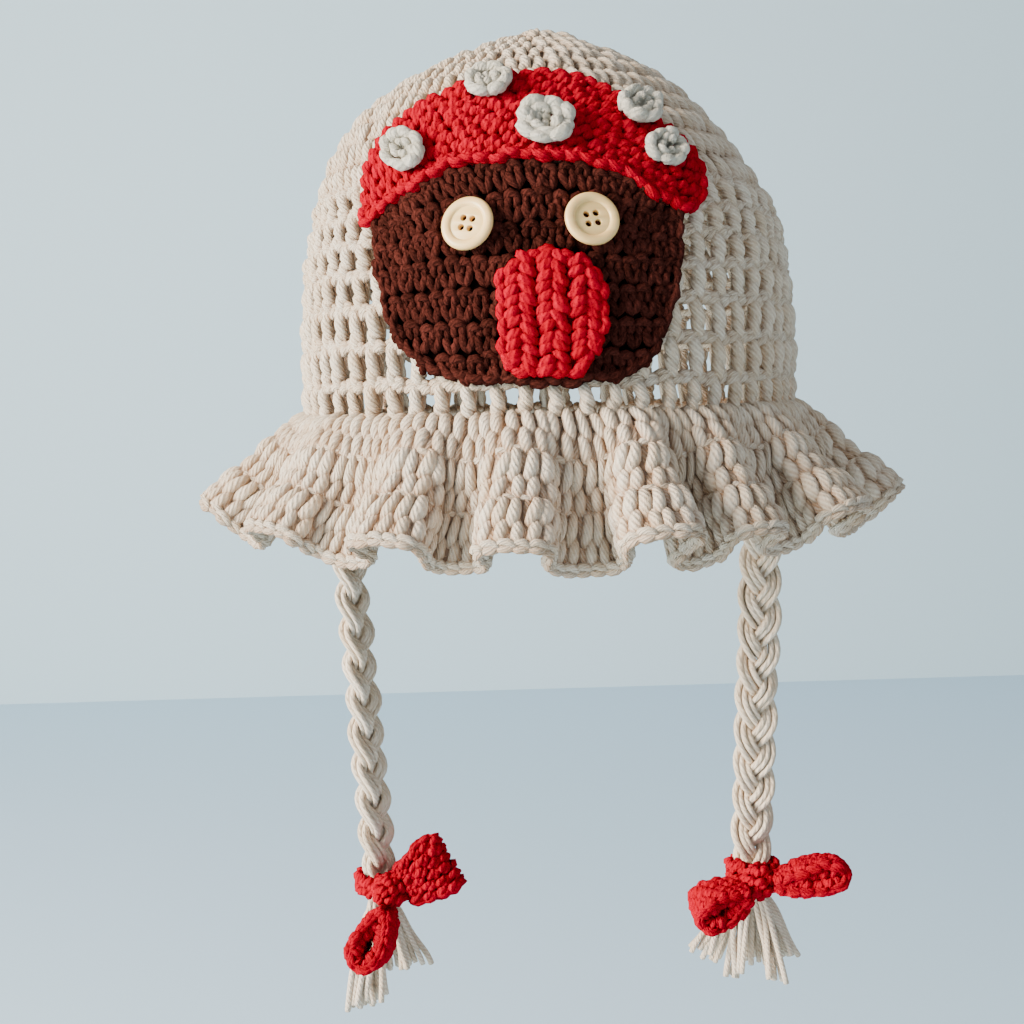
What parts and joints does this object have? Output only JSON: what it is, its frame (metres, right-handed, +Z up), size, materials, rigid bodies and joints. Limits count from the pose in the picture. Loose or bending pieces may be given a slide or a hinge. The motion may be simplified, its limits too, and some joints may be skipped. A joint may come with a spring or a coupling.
{
  "type": "crochet bucket hat with plaited ties",
  "caption": "Domed crocheted hat with a gathered brim, a toadstool house sewn to its front and two hanging plaits that end in bows and tassels.",
  "frame": {"origin": "the inside of the crown's top, where the hat sits on the head", "axes": "+Z up, the front with the toadstool house faces -Y, +X to the viewer's right"},
  "size_m": [0.2456, 0.2406, 0.3683],
  "materials": {
    "ivory_yarn": "thick cotton blend yarn, crocheted",
    "brown_yarn": "yarn worked in single crochet",
    "red_yarn": "yarn worked in single crochet",
    "grey_yarn": "yarn worked in a small round",
    "cream_button": "satin, turned, with a raised rim",
    "ivory_plait": "loose yarns, plaited"
  },
  "bodies": {
    "root": {"crown": "ivory_yarn", "brim": "ivory_yarn", "house_wall": "brown_yarn", "toadstool_cap": "red_yarn", "door": "red_yarn", "spot_1": "grey_yarn", "spot_2": "grey_yarn", "spot_3": "grey_yarn", "spot_4": "grey_yarn", "spot_5": "grey_yarn", "button_left": "cream_button", "button_right": "cream_button", "tie_left": "ivory_plait", "tie_right": "ivory_plait", "bow_left": "red_yarn", "bow_right": "red_yarn", "tassel_left": "ivory_plait", "tassel_right": "ivory_plait"}
  },
  "joints": []
}
